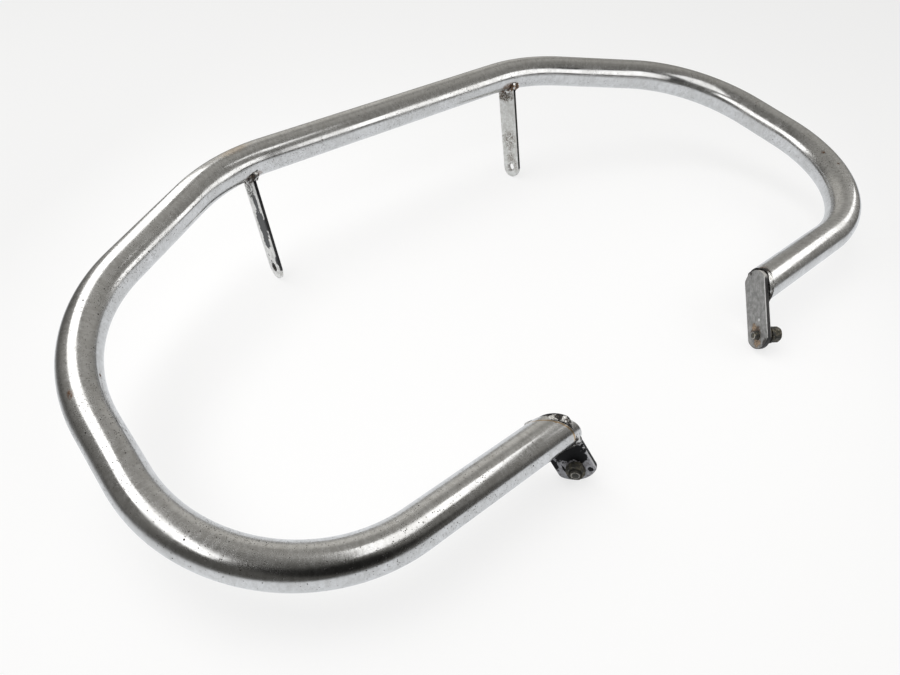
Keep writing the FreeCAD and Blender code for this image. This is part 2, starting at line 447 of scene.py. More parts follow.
def chrome():
    """Worn chrome: clouds of haze, fine brushing round the tube, a dull veil, pits and a few marks."""
    s = Shader("worn_chrome")
    place = s.attribute("straight")
    along, _, up = s.split(place)
    ringwise = s.stretch(place, (1.0, 0.5, 0.5))
    clouds = s.noise(place, 0.03, 5.0, 0.62)
    grain = s.noise(place, 0.50, 4.0, 0.68)
    brushed = s.noise(ringwise, 0.34, 6.0, 0.74)
    torn = s.ragged(place, 0.5, 0.6)
    haze = s.ramp(clouds, 0.36, 0.66)
    scratched = s.patch(place, (-668.0, 3.0, 15.0), (46.0, 9.0, 9.0), torn, 0.3)
    haze = s.any_of(haze, s.math("MULTIPLY", scratched, 0.8))

    crowd = s.ramp(s.noise(place, 0.018, 2.0, 0.5), 0.40, 0.68, 0.03, 0.16)
    for spot, size in PIT_CROWDS:
        crowd = s.math("ADD", crowd, s.math("MULTIPLY", s.patch(place, spot, size, torn, 0.5), 0.16))
    distance, colour = s.cells(place, 0.36)
    chance, size, _ = s.split(colour)
    deep = s.ramp(s.math("DIVIDE", distance, s.math("ADD", size, 0.35)), 0.12, 0.26, 1.0, 0.0)
    pit = s.math("MULTIPLY", s.math("LESS_THAN", chance, s.math("MULTIPLY", crowd, 0.55)), deep)
    distance, colour = s.cells(s.stretch(place, (1.0, 1.0, 1.0), (3.7, 1.3, 2.1)), 0.80)
    chance, size, _ = s.split(colour)
    speck = s.math("LESS_THAN", chance, s.math("MULTIPLY", crowd, 2.8))
    speck = s.all_of(speck, s.ramp(distance, 0.22, 0.40, 1.0, 0.0), s.ramp(size, 0.0, 1.0, 0.35, 0.9))
    pit = s.any_of(pit, speck)

    rust = None
    for spot, size in RUST_SPOTS:
        mark = s.patch(place, spot, size, torn, 0.35)
        rust = mark if rust is None else s.any_of(rust, mark)
    rust = s.math("MULTIPLY", rust, s.ramp(grain, 0.34, 0.58, 0.25, 1.0))
    scratch = s.all_of(
        s.patch(place, (-34.0, 9.3, 12.9), (13.0, 3.0, 3.0), torn, 0.4),
        s.ramp(s.noise(s.stretch(place, (0.25, 1.0, 1.0)), 1.1, 3.0, 0.6), 0.52, 0.58),
    )
    tint = s.math("MULTIPLY", s.patch(place, (-186.0, 3.5, 14.6), (15.0, 5.0, 5.0), torn, 0.5), 0.30)
    behind_left = s.math("ADD", s.split(s.attribute("ends"))[0], torn)
    heat = s.all_of(
        s.ramp(behind_left, -6.8, -6.2), s.ramp(behind_left, -5.6, -5.0, 1.0, 0.0),
        s.ramp(along, -870.0, -860.0, 1.0, 0.0), s.ramp(up, 2.0, 6.0),
    )
    clean = s.any_of(
        s.patch(place, (-705.0, 8.5, 13.4), (75.0, 6.0, 6.0), torn, 0.25),
        s.patch(place, (-630.0, 9.5, 12.6), (45.0, 4.5, 4.5), torn, 0.25),
        s.patch(place, (-690.0, -2.0, 15.6), (55.0, 9.0, 4.0), torn, 0.35),
    )
    dull = s.patch(place, (735.0, -4.0, 15.0), (60.0, 12.0, 8.0), torn, 0.35)

    base = s.mix(s.ramp(brushed, 0.32, 0.68), (0.53, 0.525, 0.515), (0.69, 0.69, 0.69))
    base = s.mix(s.math("MULTIPLY", haze, 0.35), base, (0.50, 0.495, 0.48))
    base = s.mix(tint, base, (0.62, 0.40, 0.18))
    base = s.mix(s.math("MULTIPLY", heat, 0.8), base, (0.42, 0.27, 0.12))
    base = s.mix(rust, base, (0.16, 0.085, 0.045))
    base = s.mix(s.any_of(pit, scratch), base, (0.045, 0.038, 0.032))
    marked = s.any_of(pit, rust, scratch)
    sharp = s.math("ADD", s.blend(haze, 0.08, 0.18), s.math("MULTIPLY", brushed, 0.10))
    sharp = s.blend(marked, sharp, 0.6)
    height = s.math("ADD", s.math("MULTIPLY", brushed, 0.7), s.math("MULTIPLY", grain, 0.6))
    height = s.math("SUBTRACT", height, s.math("MULTIPLY", marked, 0.8))
    normal = s.bump(height, 0.032, 1.0)
    veil = s.node("ShaderNodeBsdfPrincipled", Base_Color=base, Metallic=1.0, Roughness=0.42, Normal=normal)
    streaks = s.math("MULTIPLY", s.math("SUBTRACT", brushed, 0.5), 0.5)
    share = s.math("ADD", s.blend(haze, 0.05, 0.24), streaks)
    share = s.all_of(share, s.blend(clean, 1.0, 0.20), s.ramp(along, -420.0, -230.0, 0.60, 1.0))
    s.overlay(s.math("ADD", share, s.math("MULTIPLY", dull, 0.30)), veil)
    return s.finish(Base_Color=base, Metallic=1.0, Roughness=sharp, Normal=normal)


# End plates, tabs, welds and fasteners


def arc_points(centre, radius, start, end, count):
    """Points of an arc in a plane, from one angle in degrees to another."""
    turns = [math.radians(start + (end - start) * i / count) for i in range(count + 1)]
    return [(centre[0] + radius * math.cos(t), centre[1] + radius * math.sin(t)) for t in turns]


def inset(points, amount):
    """The closed outline, moved inwards by the amount. The points run anticlockwise."""
    moved = []
    for i, point in enumerate(points):
        before = Vector(points[i - 1])
        after = Vector(points[(i + 1) % len(points)])
        here = Vector(point)
        one = (here - before).normalized()
        two = (after - here).normalized()
        normal = Vector((-(one.y + two.y), one.x + two.x)).normalized()
        lean = max(0.35, normal.dot(Vector((-one.y, one.x))))
        moved.append(here + normal * (amount / lean))
    return moved


def rounded_slab(name, outline, hole, low, high, place, flip):
    """Flat bar with an outline in its own plane, one hole and softly rounded edges."""
    steps = 3
    bm = bmesh.new()
    levels = []
    for k in range(steps + 1):
        turn = math.pi / 2 * k / steps
        levels.append((low + EDGE * (1 - math.sin(turn)), EDGE * (1 - math.cos(turn))))
    levels = levels[::-1] + [(high + low - z, deep) for z, deep in levels]
    loops = []
    for sign, curve in ((1, outline), (-1, hole)):
        rings = []
        for z, deep in levels:
            rings.append([bm.verts.new((x, y, z)) for x, y in inset(curve, deep * sign)])
        count = len(curve)
        for below, above in zip(rings, rings[1:]):
            for i in range(count):
                n = (i + 1) % count
                quad = (below[i], below[n], above[n], above[i])
                bm.faces.new(quad if sign == 1 else quad[::-1]).smooth = True
        loops.append(rings)
    for end in (0, -1):
        edges = []
        for rings in loops:
            ring = rings[end]
            for i in range(len(ring)):
                edges.append(bm.edges.get((ring[i], ring[(i + 1) % len(ring)])))
        bmesh.ops.triangle_fill(bm, use_beauty=True, edges=edges)
    bmesh.ops.recalc_face_normals(bm, faces=bm.faces)
    mesh = bpy.data.meshes.new(name)
    bm.to_mesh(mesh)
    bm.free()
    piece = bpy.data.objects.new(name, mesh)
    bpy.context.scene.collection.objects.link(piece)
    settle(piece, place, flip)
    return piece


def settle(piece, place, flip):
    """Moves a mesh from its own frame into the guard's, and keeps its own frame in mm as an attribute."""
    set_vectors(piece, "local", [tuple(v.co * MM) for v in piece.data.vertices])
    piece.data.transform(place)
    if flip:
        piece.data.flip_normals()
    piece.data.update()


def plate_end(y, toward):
    """One end of a plate's outline: a flat arc between two small round corners, at y on the plate's axis."""
    reach = PLATE_WIDTH / 2 - PLATE_CORNER
    rise = math.sqrt((PLATE_END_RADIUS - PLATE_CORNER) ** 2 - reach**2)
    turn = math.degrees(math.atan2(rise, reach))
    centre = y - toward * PLATE_END_RADIUS
    corner = centre + toward * rise
    start = 0 if toward > 0 else 180
    stop = start + 180
    steps, corner_steps = 16, 6
    points = arc_points((reach * toward, corner), PLATE_CORNER, start, start + turn, corner_steps)
    points += arc_points((0, centre), PLATE_END_RADIUS, start + turn, stop - turn, steps)[1:-1]
    points += arc_points((-reach * toward, corner), PLATE_CORNER, stop - turn, stop, corner_steps)
    return points


def end_plate(side):
    low = HOLE_DISTANCE[side]
    outline = plate_end(low + HOLE_TO_END, 1) + plate_end(-PLATE_OVERHANG, -1)
    hole = arc_points((0, low), PLATE_HOLE_RADIUS, 0, 360, HOLE_POINTS)[:-1]
    place, flip = plate_place(side)
    return rounded_slab(side + "_plate_bar", outline, hole, 0.0, PLATE_THICKNESS, place, flip)


TAB_LEANING = Matrix.Translation((0, TAB_OUTWARDS, 0)) @ Matrix.Rotation(TAB_LEAN, 4, "X")


def tab_place(side):
    """Turns a tab's own frame into the guard's, and says whether that mirrors it."""
    place = REST @ Matrix.Translation((TAB_X, 0, 0)) @ TAB_LEANING
    return (place, False) if side == "right" else (MIRROR @ place, True)


def coped_top(y):
    """Height at which the tab's bar meets the tube, at a distance y across it, found by halving."""
    bend_start, _, bend_radius = LEGS[0]
    sag = math.sqrt(bend_radius**2 - (TAB_X - bend_start) ** 2) - bend_radius
    low, high = -0.03, -0.002
    for _ in range(30):
        middle = (low + high) / 2
        spot = TAB_LEANING @ Vector((0, y, middle))
        if math.hypot(spot.y - sag, spot.z) > TUBE_RADIUS:
            low = middle
        else:
            high = middle
    return low


def tab(side):
    centre = TAB_HALF - TAB_LENGTH
    steps = 12
    outline = arc_points((0, centre), TAB_HALF, 180, 360, 28)
    for i in range(steps + 1):
        y = TAB_HALF * (1 - 2 * i / steps)
        outline.append((y, coped_top(y)))
    hole = arc_points((0, centre), TAB_HOLE_RADIUS, 0, 360, HOLE_POINTS)[:-1]
    turn = Matrix(((0, 0, 1, 0), (1, 0, 0, 0), (0, 1, 0, 0), (0, 0, 0, 1)))
    place, flip = tab_place(side)
    return rounded_slab(side + "_tab_bar", outline, hole, -TAB_THICK / 2, TAB_THICK / 2, place @ turn, flip)


def lathe(name, rows, place, flip, closed=False):
    """Rings of points about Z, each a height and a radius at an angle. Capped, unless closed on itself."""
    verts = []
    for z, radius in rows:
        for k in range(FASTENER_AROUND):
            angle = 2 * math.pi * k / FASTENER_AROUND
            r = radius(angle)
            verts.append((r * math.cos(angle), r * math.sin(angle), z))
    faces = grid_faces(len(rows), FASTENER_AROUND)
    last = (len(rows) - 1) * FASTENER_AROUND
    if not closed:
        verts += [(0, 0, rows[0][0]), (0, 0, rows[-1][0])]
    for k in range(FASTENER_AROUND):
        n = (k + 1) % FASTENER_AROUND
        if closed:
            faces.append((last + k, last + n, n, k))
        else:
            faces.append((n, k, len(verts) - 2))
            faces.append((last + k, last + n, len(verts) - 1))
    piece = new_object(name, verts, faces)
    settle(piece, place, flip)
    return piece


def hex_radius(angle):
    """Distance from the axis to a hexagon with slightly rounded corners."""
    turn = (math.degrees(angle) + 30) % 60 - 30
    flat = HEX_FLATS / 2 / math.cos(math.radians(turn))
    return min(flat, HEX_FLATS / 2 / math.cos(math.radians(30)) * HEX_CORNER)


def hex_rows(low, high, chamfer_low, chamfer_high, inner):
    """Rows of a hexagon's outside, from its lower face to its upper one."""
    slope = math.tan(math.radians(30))
    reach = HEX_FLATS / 2

    def row(z):
        def radius(angle):
            r = hex_radius(angle)
            if chamfer_low:
                r = min(r, reach + (z - low) / slope)
            if chamfer_high:
                r = min(r, reach + (high - z) / slope)
            return r
        return z, radius

    heights = [low + CHAMFER_STEP * i for i in range(4)]
    heights += [high - CHAMFER_STEP * i for i in (3, 2, 1, 0)]
    rows = [(low, lambda angle: inner), (low, lambda angle: reach * HEX_FACE)]
    rows += [row(z) for z in heights]
    rows += [(high, lambda angle: reach * HEX_FACE), (high, lambda angle: inner)]
    return rows


def thread_rows(start, length, sign):
    """Rows of a threaded shank, which run from its head end to its tip."""
    count = round(length / THREAD_PITCH * ROWS_PER_PITCH)
    rows = []
    for i in range(count + 1):
        along = length * i / count
        tip = max(0.0, along - (length - TIP_CHAMFER))

        def radius(angle, along=along, tip=tip):
            turn = (along / THREAD_PITCH - angle / (2 * math.pi)) % 1.0
            depth = THREAD_DEPTH * (1 - abs(2 * turn - 1)) ** 0.9
            return THREAD_RADIUS - THREAD_SINK - max(depth, tip)
        rows.append((start + sign * along, radius))
    return rows


def bolt(side):
    place, flip = plate_place(side)
    shift = Matrix.Translation((0, HOLE_DISTANCE[side], 0))
    if side == "right":
        seat = -NUT_HEIGHT - SPRING_SEAT
        rows = hex_rows(seat - HEAD_HEIGHT, seat, True, False, HEAD_MIDDLE)[:-1]
        rows += [(seat, lambda angle: THREAD_RADIUS)]
        rows += thread_rows(seat, BOLT_LENGTH[side], 1)
    else:
        seat = PLATE_THICKNESS + SPRING_SEAT
        rows = hex_rows(seat, seat + HEAD_HEIGHT, False, True, HEAD_MIDDLE)[1:]
        rows = thread_rows(seat, BOLT_LENGTH[side], -1)[::-1] + [(seat, lambda angle: THREAD_RADIUS)] + rows
    return lathe(side + "_hex_bolt", rows, place @ shift, flip)


def nut(side):
    place, flip = plate_place(side)
    shift = Matrix.Translation((0, HOLE_DISTANCE[side], 0))
    rows = hex_rows(-NUT_HEIGHT, 0.0, True, True, THREAD_RADIUS + NUT_CLEARANCE)
    return lathe(side + "_hex_nut", rows, place @ shift, flip, True)


def even_mesh(node):
    """The node's own form as a mesh of small even faces."""
    piece = bpy.data.objects.new(node + "_even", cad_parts[node].data.copy())
    bpy.context.scene.collection.objects.link(piece)
    remesh = piece.modifiers.new("even", "REMESH")
    remesh.mode = "VOXEL"
    remesh.voxel_size = BEAD_VOXEL
    bpy.context.view_layer.update()
    even = piece.evaluated_get(bpy.context.evaluated_depsgraph_get())
    mesh = bpy.data.meshes.new_from_object(even)
    bpy.data.objects.remove(piece)
    mesh.materials.clear()
    return mesh


def drawn_in(value, limit):
    """The value, with what lies beyond the limit brought nearer to it."""
    beyond = max(0.0, abs(value) - limit)
    return math.copysign(abs(value) - beyond * 0.65, value)


def lumpy_bead(name, node, place, lump, seed, reach=None):
    """Weld bead with the node's own form and the uneven skin of weld metal, kept inside the node's box.

    With a reach, across and up its plate, what lies beyond it is drawn in.
    """
    mesh = even_mesh(node)
    piece = bpy.data.objects.new(name, mesh)
    bpy.context.scene.collection.objects.link(piece)
    low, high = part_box(node)
    normals = [v.normal.copy() for v in mesh.vertices]
    back = place.inverted()
    for vertex, normal in zip(mesh.vertices, normals):
        spot = vertex.co * MM + Vector((seed, seed, seed))
        ripple = noise.noise(spot * 0.18) + noise.noise(spot * 0.42) * 0.5
        moved = vertex.co + normal * ((ripple - 0.45) * lump)
        if reach is not None:
            own = back @ moved
            own.x = drawn_in(own.x, reach[0])
            own.y = own.y if own.y > 0 else drawn_in(own.y, reach[1])
            moved = place @ own
        for axis in range(3):
            moved[axis] = min(max(moved[axis], low[axis]), high[axis])
        vertex.co = moved
    mesh.polygons.foreach_set("use_smooth", [True] * len(mesh.polygons))
    mesh.update()
    set_vectors(piece, "local", [tuple((back @ v.co) * MM) for v in mesh.vertices])
    return piece


# Half length of a patch, in mm, in a direction that has no end to it
FAR = 1000.0


def black_paint_plate():
    """Black paint with a torn edge on dull bare steel, worst round the nut. Left end plate."""
    s = Shader("chipped_black_paint")
    place = s.attribute("local")
    torn = s.ragged(place, 0.30, 0.55)
    mottle = s.noise(place, 0.35, 5.0, 0.65)
    fine = s.noise(place, 1.6, 3.0, 0.6)
    across, _, out = s.split(place)
    steel_colour = s.mix(s.ramp(mottle, 0.35, 0.68), (0.46, 0.46, 0.49), (0.26, 0.26, 0.275))
    band = s.patch(place, (-1.0, 21.0, 0.0), (13.6, 11.0, FAR), torn, 0.05)
    side_strip = s.patch(place, (13.6, 30.0, 0.0), (2.4, 7.0, FAR), torn, 0.05)
    by_strip = s.patch(place, (-7.5, 29.0, 0.0), (5.2, 6.5, FAR), torn, 0.05)
    crescent = s.patch(place, (8.6, 37.5, 0.0), (0.9, 4.6, FAR), torn, 0.1)
    chip = s.patch(place, (-10.0, 44.0, 0.0), (2.1, 2.4, FAR), torn, 0.1)
    back = s.ramp(out, 0.3, 1.2)
    back_torn = s.ramp(s.noise(place, 0.12, 5.0, 0.7), 0.42, 0.47)
    top_wear = s.patch(place, (-11.5, 15.0, 0.0), (2.8, 3.4, FAR), torn, 0.1)
    front = s.all_of(s.any_of(band, by_strip, side_strip, crescent, chip), s.math("SUBTRACT", 1.0, top_wear))
    sides = s.all_of(s.ramp(out, 0.25, 0.45), s.ramp(out, 3.05, 3.25, 1.0, 0.0))
    strip = s.patch(place, (-13.9, 22.0, 0.0), (0.9, 26.0, FAR), torn, 0.1)
    rim = s.ramp(across, -14.5, -14.8)
    paint = s.any_of(s.blend(back, front, back_torn), sides, rim)
    rust = s.all_of(s.ramp(mottle, 0.52, 0.66), s.ramp(fine, 0.42, 0.6))
    bare = s.mix(s.math("MULTIPLY", rust, 0.55), steel_colour, (0.12, 0.07, 0.04))
    bare = s.mix(strip, bare, (0.62, 0.62, 0.63))
    base = s.mix(paint, bare, (0.008, 0.008, 0.009))
    rough = s.blend(paint, s.blend(fine, 0.38, 0.58), s.blend(fine, 0.40, 0.60))
    metallic = s.blend(paint, 0.3, 0.0)
    gloss = s.blend(paint, 0.5, 0.12)
    height = s.math("ADD", paint, s.math("MULTIPLY", fine, 0.3))
    normal = s.bump(height, 0.12, 0.8)
    return s.finish(
        Base_Color=base, Metallic=metallic, Roughness=rough, Specular_IOR_Level=gloss, Normal=normal
    )


def dull_plate():
    """Dull grey steel, mottled, with dark spots and brown rust about its bolt, and painted shade and
    highlights on its edges. Right end plate.
    """
    s = Shader("dull_steel")
    place = s.attribute("local")
    mottle = s.noise(place, 0.22, 5.0, 0.62)
    grain = s.noise(s.stretch(place, (1.0, 0.35, 1.0)), 0.8, 4.0, 0.65)
    fine = s.noise(place, 2.0, 3.0, 0.6)
    torn = s.ragged(place, 0.35, 0.6)
    across, down, out = s.split(place)
    steel_colour = s.mix(s.ramp(mottle, 0.32, 0.68), (0.34, 0.335, 0.325), (0.20, 0.197, 0.19))
    steel_colour = s.mix(s.ramp(grain, 0.45, 0.75, 0.0, 0.6), steel_colour, (0.11, 0.105, 0.10))
    ring = s.patch(place, (2.0, 43.0, 0.0), (7.0, 7.5, FAR), torn, 0.25)
    tan = s.any_of(
        s.patch(place, (4.0, 37.0, 0.0), (3.6, 3.2, FAR), torn, 0.25),
        s.patch(place, (1.2, 52.0, 0.0), (5.0, 4.6, FAR), torn, 0.25),
    )
    spots = s.any_of(
        s.patch(place, (4.4, -12.7, 0.0), (1.5, 1.6, FAR), torn, 0.3),
        s.patch(place, (-11.5, 54.0, 0.0), (5.0, 5.0, FAR), torn, 0.3),
    )
    # Two pale spots, and a thin pale line along one long edge that is a painted highlight.
    pale = s.any_of(
        s.patch(place, (-3.9, 31.6, 0.0), (1.2, 1.2, FAR), torn, 0.3),
        s.patch(place, (7.1, -16.6, 0.0), (1.8, 1.6, FAR), torn, 0.3),
        s.patch(place, (-14.9, 18.0, 0.0), (0.45, 34.0, FAR), torn, 0.3),
    )
    side_faces = s.all_of(s.ramp(out, 0.25, 0.45), s.ramp(out, 2.95, 3.2, 1.0, 0.0))
    # Painted shade: the side faces along one long edge and round the lower end are painted near black.
    shaded_sides = s.all_of(s.ramp(across, -12.0, -14.0), s.ramp(down, -8.0, -4.0))
    shaded_sides = s.all_of(side_faces, s.any_of(shaded_sides, s.ramp(down, 30.0, 40.0)))
    # Painted shade: a thin dark line along the rim of the plate's lower end.
    end_radius = PLATE_END_RADIUS * MM
    end_centre = (0.0, (HOLE_DISTANCE["right"] + HOLE_TO_END) * MM - end_radius, PLATE_THICKNESS * MM)
    inside_rim = s.near(place, end_centre, end_radius - 0.9, end_radius - 0.5)
    shaded_low_rim = s.all_of(s.ramp(down, 47.0, 50.0), s.math("SUBTRACT", 1.0, inside_rim))
    brown = s.mix(s.ramp(fine, 0.35, 0.62), (0.045, 0.032, 0.023), (0.13, 0.095, 0.07))
    sand = s.ramp(s.noise(place, 1.1, 5.0, 0.7), 0.38, 0.60)
    sandy = s.mix(sand, (0.07, 0.045, 0.03), (0.38, 0.28, 0.19))
    rust = s.all_of(s.any_of(ring, tan), s.ramp(fine, 0.20, 0.50, 0.6, 1.0))
    base = s.mix(rust, steel_colour, s.mix(tan, brown, sandy))
    base = s.mix(spots, base, (0.05, 0.045, 0.04))
    base = s.mix(pale, base, (0.62, 0.62, 0.61))
    # The side faces are painted a lighter grey: a painted highlight along the plate's top edge.
    base = s.mix(side_faces, base, (0.42, 0.41, 0.39))
    base = s.mix(s.any_of(shaded_sides, shaded_low_rim), base, (0.032, 0.031, 0.031))
    rough = s.blend(rust, s.blend(fine, 0.42, 0.6), 0.8)
    metallic = s.blend(s.any_of(rust, side_faces), 0.6, 0.1)
    normal = s.bump(s.math("ADD", grain, s.math("MULTIPLY", rust, fine)), 0.08, 0.7)
    return s.finish(Base_Color=base, Metallic=metallic, Roughness=rough, Normal=normal)


def left_tab_metal():
    """Bright worn plating under the rest of a coat of grey paint, with painted shade on one long edge. Left
    tab.
    """
    s = Shader("worn_paint_tab")
    place = s.attribute("local")
    torn = s.ragged(place, 0.35, 0.5)
    mottle = s.noise(place, 0.25, 4.0, 0.6)
    fine = s.noise(place, 1.5, 4.0, 0.65)
    across, _, out = s.split(place)
    bright = s.mix(s.ramp(mottle, 0.38, 0.66), (0.92, 0.92, 0.91), (0.68, 0.68, 0.66))
    middle = s.patch(place, (-2.2, -63.0, 0.0), (8.6, 18.0, FAR), torn, 0.05)
    lower = s.patch(place, (-1.0, -79.0, 0.0), (6.4, 8.5, FAR), torn, 0.05)
    upper = s.patch(place, (-2.2, -40.0, 0.0), (4.6, 9.5, FAR), torn, 0.05)
    paint = s.all_of(s.any_of(middle, lower, upper), s.ramp(out, 1.3, 1.55))
    crumbs = s.patch(place, (1.5, -27.5, 0.0), (8.5, 8.5, FAR), torn, 0.3)
    crumbs = s.all_of(crumbs, s.ramp(s.noise(place, 0.45, 4.0, 0.7), 0.45, 0.50), s.ramp(out, 1.3, 1.55))
    pits = s.any_of(
        s.patch(place, (5.1, -96.0, 0.0), (1.2, 1.4, FAR), torn, 0.3),
        s.patch(place, (2.7, -102.4, 0.0), (1.3, 1.6, FAR), torn, 0.3),
        s.patch(place, (0.6, -108.8, 0.0), (4.9, 4.9, FAR), torn, 0.1),
    )
    # Painted shade: the tab's side along one long edge is painted near black.
    edge = s.ramp(across, -12.3, -12.65)
    edge_black = s.any_of(
        s.patch(place, (-11.8, -61.0, 0.0), (3.4, 6.5, FAR), torn, 0.08),
        s.patch(place, (-11.8, -99.5, 0.0), (3.4, 5.0, FAR), torn, 0.08),
    )
    base = s.mix(paint, bright, (0.060, 0.062, 0.064))
    base = s.mix(s.any_of(crumbs, pits), base, (0.05, 0.045, 0.04))
    base = s.mix(s.any_of(edge, edge_black), base, (0.016, 0.016, 0.018))
    dark = s.any_of(paint, crumbs, edge, edge_black)
    rough = s.blend(dark, s.blend(fine, 0.30, 0.50), 0.55)
    metallic = s.blend(dark, 0.10, 0.0)
    normal = s.bump(s.math("ADD", dark, s.math("MULTIPLY", fine, 0.4)), 0.10, 0.7)
    return s.finish(Base_Color=base, Metallic=metallic, Roughness=rough, Normal=normal)


def right_tab_metal():
    """Dull light grey with brown mottling in its middle and over its hole, and painted shade on one long
    edge. Right tab.
    """
    s = Shader("dull_plated_tab")
    place = s.attribute("local")
    torn = s.ragged(place, 0.30, 0.7)
    mottle = s.noise(place, 0.20, 5.0, 0.62)
    fine = s.noise(place, 0.9, 5.0, 0.7)
    across = s.split(place)[0]
    grey = s.mix(s.ramp(mottle, 0.35, 0.68), (0.80, 0.81, 0.80), (0.62, 0.62, 0.60))
    middle = s.patch(place, (0.5, -75.0, 0.0), (9.5, 12.0, FAR), torn, 0.35)
    over_hole = s.patch(place, (0.0, -97.0, 0.0), (7.5, 6.5, FAR), torn, 0.35)
    beside_hole = s.patch(place, (-7.6, -105.5, 0.0), (2.4, 7.0, FAR), torn, 0.3)
    by_weld = s.patch(place, (3.0, -24.5, 0.0), (12.0, 5.0, FAR), torn, 0.35)
    spatter = s.all_of(by_weld, s.ramp(s.noise(place, 0.75, 4.0, 0.7), 0.43, 0.50))
    ring = s.patch(place, (0.0, (TAB_HALF - TAB_LENGTH) * MM, 0.0), (5.5, 5.5, FAR), torn, 0.15)
    ring = s.all_of(ring, s.ramp(fine, 0.35, 0.6, 0.3, 1.0))
    brown = s.all_of(s.any_of(middle, over_hole, by_weld, beside_hole), s.ramp(fine, 0.44, 0.58))
    faint = s.patch(place, (2.0, -50.0, 0.0), (12.0, 30.0, FAR), torn, 0.4)
    faint = s.all_of(faint, s.ramp(fine, 0.52, 0.66, 0.0, 0.4))
    # Painted shade: the tab's side along one long edge is painted near black.
    edge = s.ramp(across, -12.3, -12.65)
    base = s.mix(s.any_of(brown, faint), grey, (0.15, 0.115, 0.085))
    base = s.mix(s.math("MULTIPLY", ring, 0.7), base, (0.10, 0.085, 0.07))
    base = s.mix(spatter, base, (0.075, 0.048, 0.028))
    base = s.mix(edge, base, (0.02, 0.019, 0.019))
    rough = s.blend(brown, s.blend(fine, 0.36, 0.54), 0.75)
    metallic = s.blend(s.any_of(brown, edge), 0.2, 0.05)
    normal = s.bump(s.math("SUBTRACT", fine, s.math("MULTIPLY", brown, 0.5)), 0.09, 0.7)
    return s.finish(Base_Color=base, Metallic=metallic, Roughness=rough, Normal=normal)


def weld_metal(name, rusty, bright, glint_spot=None):
    """Weld metal: dark scale, brown rust, and bright in patches and, where given, a painted glint in one
    place.
    """
    s = Shader(name)
    place = s.attribute("local")
    lumps = s.noise(place, 0.18, 3.0, 0.55)
    crust = s.noise(place, 0.9, 5.0, 0.7)
    fine = s.noise(place, 2.6, 3.0, 0.6)
    distance, _ = s.cells(place, 0.55)
    shine = s.ramp(lumps, 1.0 - bright - 0.10, 1.0 - bright)
    if glint_spot is not None:
        # Painted glint: the given place is made bright and shiny.
        shine = s.any_of(shine, s.patch(place, *glint_spot, s.ragged(place, 0.4, 0.4), 0.15))
    rust = s.ramp(crust, 0.66 - rusty * 0.3, 0.76 - rusty * 0.3)
    scale = s.mix(s.ramp(fine, 0.35, 0.65), (0.022, 0.021, 0.020), (0.10, 0.096, 0.092))
    brown = s.mix(s.ramp(fine, 0.35, 0.65), (0.07, 0.035, 0.018), (0.34, 0.19, 0.10))
    base = s.mix(rust, scale, brown)
    base = s.mix(shine, base, (0.60, 0.59, 0.57))
    rough = s.blend(shine, 0.62, 0.20)
    metallic = s.blend(s.math("SUBTRACT", rust, shine), 0.9, 0.15)
    height = s.math("ADD", s.math("MULTIPLY", crust, 1.2), s.math("MULTIPLY", distance, -0.8))
    normal = s.bump(height, 0.20, 0.6)
    return s.finish(Base_Color=base, Metallic=metallic, Roughness=rough, Normal=normal)


def rusty_steel(name, tip=None):
    """Dark rusty steel of the bolts, nuts and washers, with painted glints. A bolt's tip, at its height, has
    a painted highlight on its rim.
    """
    s = Shader(name)
    place = s.node("ShaderNodeTexCoord").outputs["Object"]
    crust = s.noise(place, 600.0, 5.0, 0.7)
    fine = s.noise(place, 2200.0, 3.0, 0.6)
    patches = s.noise(place, 260.0, 3.0, 0.6)
    dark = s.mix(s.ramp(fine, 0.35, 0.65), (0.028, 0.028, 0.025), (0.11, 0.107, 0.095))
    brown = s.mix(s.ramp(crust, 0.35, 0.65), (0.050, 0.046, 0.035), (0.19, 0.17, 0.125))
    base = s.mix(s.ramp(patches, 0.46, 0.60), dark, brown)
    glint = s.ramp(crust, 0.645, 0.69)
    # Painted highlight: a light ring round the rim of a bolt's tip. The light spots in the crust are painted
    # glints.
    if tip is not None:
        own = s.attribute("local")
        inwards = -math.copysign(1.0, tip)
        rim = s.ramp(s.split(own)[2], tip * MM + 0.4 * inwards, tip * MM + 0.2 * inwards)
        middle = s.patch(own, (0.0, 0.0, 0.0), (2.7, 2.7, FAR), None, 0.08)
        rim = s.math("SUBTRACT", rim, s.math("MULTIPLY", rim, middle))
        glint = s.any_of(glint, s.math("MULTIPLY", rim, s.ramp(crust, 0.36, 0.56, 0.1, 0.8)))
    base = s.mix(glint, base, (0.5, 0.48, 0.44))
    rough = s.blend(glint, 0.62, 0.3)
    normal = s.bump(s.math("ADD", crust, s.math("MULTIPLY", fine, 0.4)), 0.18, 0.8)
    return s.finish(Base_Color=base, Metallic=0.6, Roughness=rough, Normal=normal)


def dress(piece, material, node):
    """Puts a piece in the place of its node and its material."""
    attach(piece, "root")
    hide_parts(node)
    piece.data.materials.append(material)


# What differs between the sides: the seed of the beads' lumps, rust on the tab's bead, shine and a
# painted glint on the plate's bead, and the height of the bolt's tip
SIDES = {
    "left": (3, 0.45, 0.43, None, PLATE_THICKNESS + SPRING_SEAT - BOLT_LENGTH["left"]),
    "right": (
        17, 0.75, 0.34, ((-16.5, -7.0, -2.0), (4.0, 5.0, 4.0)),
        BOLT_LENGTH["right"] - NUT_HEIGHT - SPRING_SEAT,
    ),
}

